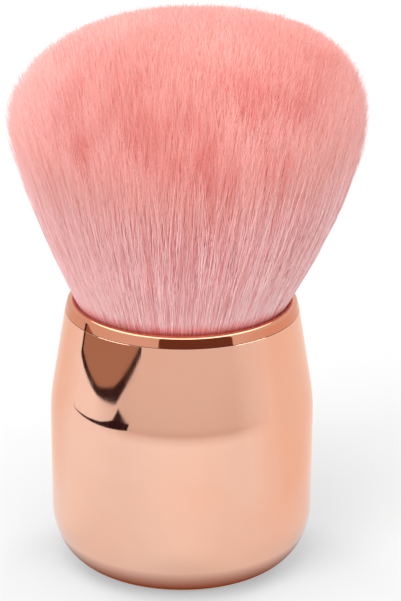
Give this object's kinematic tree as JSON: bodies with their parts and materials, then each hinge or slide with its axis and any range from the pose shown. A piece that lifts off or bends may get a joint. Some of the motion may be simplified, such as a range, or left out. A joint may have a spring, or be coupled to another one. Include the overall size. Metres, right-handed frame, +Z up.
{
  "type": "nail dust brush",
  "caption": "Short round dusting brush: a weighted, rounded plated handle with a rolled-lip ferrule that holds a dense flared dome of soft bristles, standing upright on its flat base.",
  "frame": {"origin": "centre of the flat base that the brush stands on, on the handle's axis", "axes": "+Z up along the handle's axis towards the bristles; -Y is the side that faces the camera in the picture, +X is to its right"},
  "size_m": [0.0541, 0.0542, 0.0856],
  "materials": {
    "plated_shell": "moulded plastic with a polished rose gold metal plating",
    "plated_ferrule": "drawn tube, polished, rose gold",
    "steel_weight": "sawn bar slug, bare",
    "adhesive": "cured hot-melt adhesive",
    "disc_sheet": "punched plastic sheet",
    "root_resin": "cured epoxy resin",
    "binding_thread": "wound thread",
    "bristle_fibre": "fine soft synthetic fibre, coral",
    "skirt_fibre": "fine soft synthetic fibre, pale pink root and coral tip"
  },
  "bodies": {
    "root": {"handle_shell": "plated_shell", "weight_pad": "adhesive", "base_weight": "steel_weight", "ferrule_bed": "adhesive", "ferrule": "plated_ferrule", "root_disc": "disc_sheet", "root_block": "root_resin", "root_tie": "binding_thread", "bristle_core": "bristle_fibre", "bristle_inner": "bristle_fibre", "bristle_middle": "bristle_fibre", "bristle_skirt": "skirt_fibre"}
  },
  "joints": []
}
